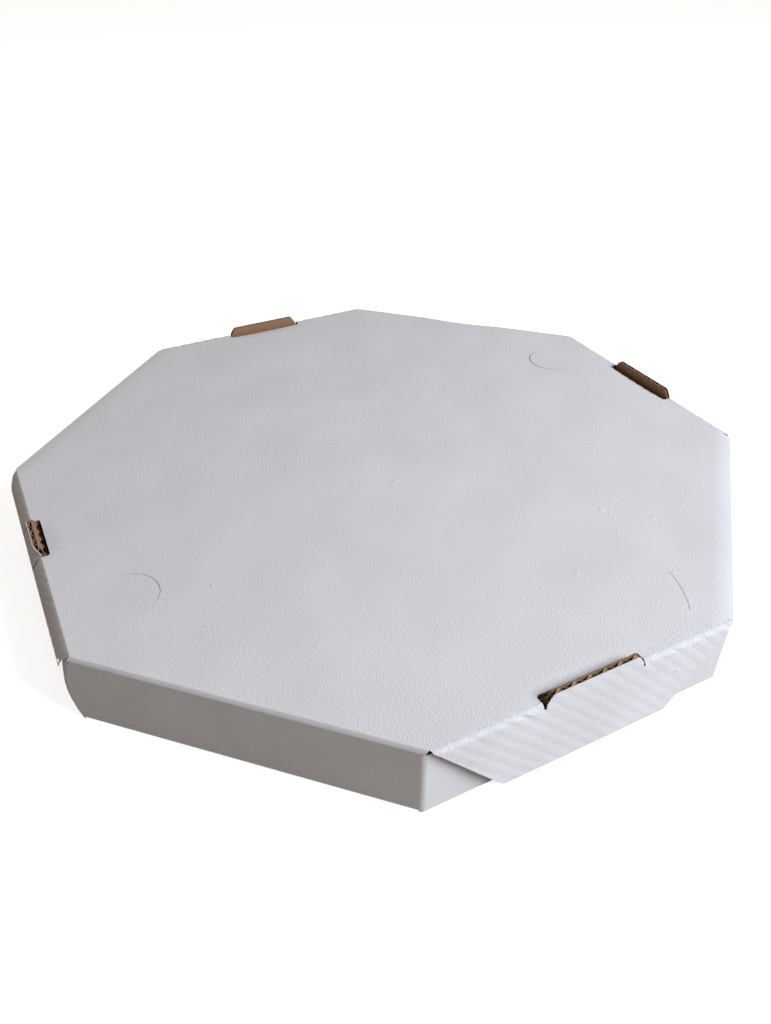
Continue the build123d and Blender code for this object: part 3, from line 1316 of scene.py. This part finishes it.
@dataclass
class Tray:
    """Lower part of the box: a bottom, four walls with glued ears, and four diagonal walls behind them."""

    sizes: BoxSizes
    board: Board
    papers: Papers
    sag: float = 0.03 * MM
    dent: float = 0.12 * MM
    swell: float = 4.5 * MM
    swell_reach: float = 16.0 * MM
    swell_power: float = 0.8

    def build(self) -> list[bpy.types.Object]:
        """Fold up the whole tray."""
        pieces = [self._bottom()]
        pieces += [self._wall(side) for side in WALL_SIDES]
        pieces += [self._diagonal(side) for side in FLAP_SIDES]
        for piece in pieces:
            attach(piece, "tray")
            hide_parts("tray")
        pieces += [self._hinge(), self._inner_hinge()]
        return pieces

    def _stand(self, side: Side, plane: float) -> Matrix:
        """Place of a panel that stands on one side, from along and up to the room."""
        upright = Matrix.Rotation(math.pi / 2, 4, "X")
        return side.spin @ Matrix.Translation((0, -plane, 0)) @ upright

    def _bottom(self) -> bpy.types.Object:
        """Bottom panel, with its white face down."""
        sizes = self.sizes
        diagonal_inset = sizes.board + sizes.fold
        insets = {**dict.fromkeys(WALL_SIDES, sizes.fold), **dict.fromkeys(FLAP_SIDES, diagonal_inset)}
        outline = octagon(sizes.apothem, insets)
        panel = Panel("tray_bottom", outline, outline, 0.0, self.sag, smooth=True, even_half=math.inf)
        return Bench.put(panel.cut(self.board, self.papers), Matrix.Rotation(math.pi, 4, "X"))

    def _wall(self, side: Side) -> bpy.types.Object:
        """One wall with its two ears and the rounded folds between them."""
        sizes = self.sizes
        reach = sizes.corner * math.tan(math.pi / 8)
        corner = sizes.crossing(sizes.apothem, sizes.apothem)
        half = corner - reach
        top = sizes.wall_top
        white_top = sizes.height - sizes.fold if side is Side.NEAR else top
        outline = [(-half, sizes.fold), (half, sizes.fold), (half, white_top), (-half, white_top)]
        inner = [(-half, sizes.fold), (half, sizes.fold), (half, top), (-half, top)]
        flutes = side.turn
        wall = Panel("wall", outline, inner, flutes, self.sag, smooth=True)
        pieces = [Bench.put(wall.cut(self.board, self.papers), self._stand(side, sizes.apothem))]

        foot = corner - sizes.ear_length
        head = foot + sizes.ear_slant
        low = sizes.foot_gap
        for hand, beside in ((1, side.beside(1)), (-1, side.beside(-1))):
            ear = [(-half, low), (-foot, low), (-head, top), (-half, top)]
            points = ear if hand > 0 else [(-x, z) for x, z in reversed(ear)]
            panel = Panel("ear", points, points, flutes, self.sag, smooth=True)
            pieces.append(Bench.put(panel.cut(self.board, self.papers), self._stand(beside, sizes.apothem)))
        pieces += [self._upright_fold(start, corner, flutes) for start in (side, side.beside(-1))]
        pieces.append(self._foot_fold(side, half, sizes.apothem, flutes))
        wall = Bench.join(f"tray_wall_{side.label}", pieces)
        if side is Side.NEAR:
            Bench.shape(wall, lambda places: self._swollen(places, Vector((-corner, -sizes.apothem))))
        return wall

    def _swollen(self, places: np.ndarray, corner: Vector) -> np.ndarray:
        """Push an upright corner that was knocked out of shape outwards, most at half its height."""
        away = np.hypot(places[:, 0] - corner.x, places[:, 1] - corner.y)
        height = np.clip(places[:, 2] / self.sizes.wall_top, 0, 1)
        belly = np.sin(math.pi * height) ** self.swell_power
        places[:, 0] -= self.swell * np.exp(-(away / self.swell_reach) ** 2) * belly
        return places

    def _diagonal(self, side: Side) -> bpy.types.Object:
        """Diagonal wall, glued behind two ears."""
        sizes = self.sizes
        half = sizes.crossing(sizes.diagonal_plane, sizes.apothem - sizes.board)
        outline = [(-half, sizes.fold), (half, sizes.fold), (half, sizes.wall_top), (-half, sizes.wall_top)]
        flutes = side.turn
        panel = Panel("wall", outline, outline, flutes, self.sag, smooth=True)
        wall = Bench.put(panel.cut(self.board, self.papers), self._stand(side, sizes.diagonal_plane))
        fold = self._foot_fold(side, half, sizes.diagonal_plane, flutes)
        return Bench.join(f"tray_diagonal_{side.label}", [wall, fold])

    def _standing_sheet(self, flutes: float) -> Callable[[np.ndarray, np.ndarray], np.ndarray]:
        """Flat sheet's coordinates beside a crease of a standing panel."""
        cos, sin = math.cos(flutes), math.sin(flutes)
        return lambda along, distance: np.stack(
            [cos * along + sin * distance, sin * along - cos * distance], axis=1
        )

    def _foot_fold(self, side: Side, half: float, plane: float, flutes: float) -> bpy.types.Object:
        """White liner bent from a wall to the bottom."""
        section = RoundFold(math.pi / 2, self.sizes.fold)
        sheet = self._standing_sheet(flutes)
        ends = level_end(-half), level_end(half)
        strip = FoldStrip("fold", section, *ends, sheet, self.dent, step=2.0 * MM, rows=8)
        bent = strip.bend(self.board, self.papers, self.papers.smooth)
        return Bench.put(bent, self._stand(side, plane))

    def _upright_fold(self, side: Side, corner: float, flutes: float) -> bpy.types.Object:
        """White liner bent round an upright corner, at the far end of a side."""
        section = RoundFold(math.pi / 4, self.sizes.corner)
        ends = level_end(self.sizes.foot_gap), level_end(self.sizes.wall_top)
        upright = Matrix(((0, -1, 0, 0), (0, 0, -1, 0), (1, 0, 0, 0), (0, 0, 0, 1)))
        sheet = self._standing_sheet(flutes + math.pi / 2)
        strip = FoldStrip("corner", section, *ends, sheet, self.dent, step=1.5 * MM, rows=6)
        bent = strip.bend(self.board, self.papers, self.papers.smooth)
        return Bench.put(bent, side.spin @ Matrix.Translation((corner, -self.sizes.apothem, 0)) @ upright)

    def _hinge_sheet(self, along: np.ndarray, distance: np.ndarray) -> np.ndarray:
        """Flat sheet's coordinates beside the hinge."""
        return np.stack([along, -self.sizes.apothem - distance], axis=1)

    def _hinge(self) -> bpy.types.Object:
        """White liner bent from the near wall to the lid."""
        sizes = self.sizes
        section = FacetFold(sizes.hinge_lap, sizes.fold)

        def end(side: Side, distance: np.ndarray) -> np.ndarray:
            """Length of the hinge from its middle to the lid's and the tray's corner beside a flap."""
            lid_plane = sizes.apothem - sizes.flap_inset(side)
            lid_end = sizes.crossing(sizes.apothem - sizes.hinge_lap, lid_plane)
            tray_end = sizes.crossing(sizes.apothem, sizes.apothem)
            return np.interp(distance, (-sizes.hinge_lap, sizes.fold), (lid_end, tray_end))

        strip = FoldStrip(
            "hinge", section, lambda distance: -end(Side.FRONT_LEFT, distance),
            lambda distance: end(Side.FRONT_RIGHT, distance), self._hinge_sheet, dent=0.0, step=3.0 * MM,
        )
        hinge = Bench.join("hinge_crease", [strip.bend(self.board, self.papers, self.papers.smooth)])
        Bench.put(hinge, Matrix.Translation((0, -sizes.apothem, sizes.height)))
        sizes.height - sizes.fold
        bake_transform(hinge)
        return hinge

    def _inner_hinge(self) -> bpy.types.Object:
        """Brown liner in the inside corner of the hinge."""
        sizes = self.sizes
        first = (-sizes.board - sizes.flap_gap, -sizes.board)
        last = (-sizes.board, -sizes.board - 2 * sizes.flap_gap)
        section = InnerFold(first, last)
        half = sizes.crossing(sizes.apothem, sizes.apothem) - sizes.board
        ends = level_end(-half), level_end(half)
        strip = FoldStrip("bead", section, *ends, self._hinge_sheet, dent=0.0, step=4.0 * MM, rows=8)
        bead = strip.bend(self.board, self.papers, self.papers.kraft)
        bead = Bench.join("hinge_crease_inside", [bead])
        Bench.put(bead, Matrix.Translation((0, -sizes.apothem, sizes.height)))
        -sizes.apothem - first[0]
        sizes.height + first[1]
        -sizes.apothem - last[0]
        sizes.height + last[1]
        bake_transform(bead)
        return bead


@dataclass(frozen=True)
class Studio:
    """Pale floor, soft light from the right, and the camera."""

    floor_half: float = 4.0
    floor_colour: Colour = (0.30, 0.265, 0.23)
    floor_glow: float = 0.80
    floor_catch: float = 0.70
    covered: float = 0.1985
    behind_flap: float = 6.0 * MM
    ear_gap_half: float = 28.0 * MM
    ear_gap_fade: float = 4.0 * MM
    key_place: tuple[float, float, float] = (1.32, -0.21, 0.98)
    key_size: float = 0.85
    key_power: float = 30.5
    key_colour: Colour = (0.93, 1.0, 1.10)
    sky_colour: Colour = (1.17, 1.0, 0.87)
    sky_strength: float = 0.215
    lens: float = 29.239
    camera_place: tuple[float, float, float] = (131.25 * MM, -399.92 * MM, 313.59 * MM)
    camera_aim: tuple[float, float, float] = (20.05 * MM, -54.80 * MM, 41.4 * MM)
    camera_roll: float = math.radians(-0.137)
    camera_near: float = 10.0 * MM

    def build(self) -> None:
        """Set up the whole studio."""
        self._floor()
        self._key()
        self._sky()
        self._camera()
        bpy.context.scene.view_settings.view_transform = "Standard"

    def _floor(self) -> None:
        """Floor that looks white, keeps the box's shadow, and throws little light back."""
        bpy.ops.object.select_all(action="DESELECT")
        bpy.ops.mesh.primitive_plane_add(size=2 * self.floor_half)
        floor = bpy.context.object
        floor.name = "floor"
        recipe = Recipe.material("floor")
        path = recipe.node("ShaderNodeLightPath", {}, {})
        seen = Value(recipe, path.outputs["Is Camera Ray"]) + Value(recipe, path.outputs["Is Glossy Ray"])
        seen = seen + Value(recipe, path.outputs["Is Transmission Ray"])
        place = recipe.node("ShaderNodeNewGeometry", {}, {}).outputs["Position"]
        split = recipe.node("ShaderNodeSeparateXYZ", {}, {0: place})
        x, y = (Value(recipe, split.outputs[axis]).size() for axis in ("X", "Y"))
        slant = math.sqrt(0.5)
        past_gap = ((x - y) * slant).size().above(self.ear_gap_half, self.ear_gap_half + self.ear_gap_fade)
        diagonal = (x + y) * slant - (1.0 - past_gap) * self.behind_flap
        open_floor = x.larger(y).larger(diagonal).above(self.covered - MM, self.covered)
        dim = recipe.node("ShaderNodeBsdfDiffuse", {}, {"Color": (*self.floor_colour, 1)})
        catch = recipe.node("ShaderNodeBsdfDiffuse", {}, {"Color": (self.floor_catch,) * 3 + (1,)})
        glow = recipe.node("ShaderNodeEmission", {}, {"Strength": self.floor_glow})
        white = recipe.node("ShaderNodeAddShader", {}, {0: catch.outputs[0], 1: glow.outputs[0]})
        recipe.show(recipe.blend(seen, dim, recipe.blend(open_floor, catch, white)))
        floor.data.materials.append(recipe.owner)

    def _key(self) -> None:
        """Large soft lamp on the right."""
        bpy.ops.object.light_add(type="AREA", location=self.key_place)
        lamp = bpy.context.object
        lamp.name = "key"
        lamp.data.energy = self.key_power
        lamp.data.color = self.key_colour
        lamp.data.size = self.key_size
        lamp.rotation_euler = (-Vector(self.key_place)).to_track_quat("-Z", "Y").to_euler()

    def _sky(self) -> None:
        """Weak even light, and white where the camera sees past the floor."""
        world = bpy.data.worlds.new("sky")
        bpy.context.scene.world = world
        recipe = Recipe(world)
        kind = "ShaderNodeBackground"
        dim = recipe.node(kind, {}, {"Color": (*self.sky_colour, 1), "Strength": self.sky_strength})
        white = recipe.node(kind, {}, {"Color": (1, 1, 1, 1), "Strength": 1.0})
        path = recipe.node("ShaderNodeLightPath", {}, {})
        recipe.show(recipe.blend(path.outputs["Is Camera Ray"], dim, white))

    def _camera(self) -> None:
        """Camera at the photograph's viewing angle."""
        bpy.ops.object.camera_add(location=self.camera_place)
        camera = bpy.context.object
        camera.data.lens = self.lens
        camera.data.clip_start = self.camera_near
        aim = Vector(self.camera_aim) - Vector(self.camera_place)
        turn = aim.to_track_quat("-Z", "Y").to_matrix() @ Matrix.Rotation(self.camera_roll, 3, "Z")
        camera.rotation_euler = turn.to_euler()
        bpy.context.scene.camera = camera


def main() -> None:
    """Build the box, dress it, and set up the studio."""
    logging.basicConfig(level=logging.INFO, format="%(message)s")
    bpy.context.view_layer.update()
    sizes = BoxSizes.from_frame()
    board = Board(sizes.board)
    papers = Papers.mixed()
    pieces = [Lid(sizes, board, papers).build()]
    for side in FLAP_SIDES:
        pieces += Flap(sizes, board, papers, side).build()
    pieces += Tray(sizes, board, papers).build()
    for piece in pieces:
        LOG.info("%s: %d faces", piece.name, len(piece.data.polygons))
    Studio().build()


if __name__ == "__main__":
    main()
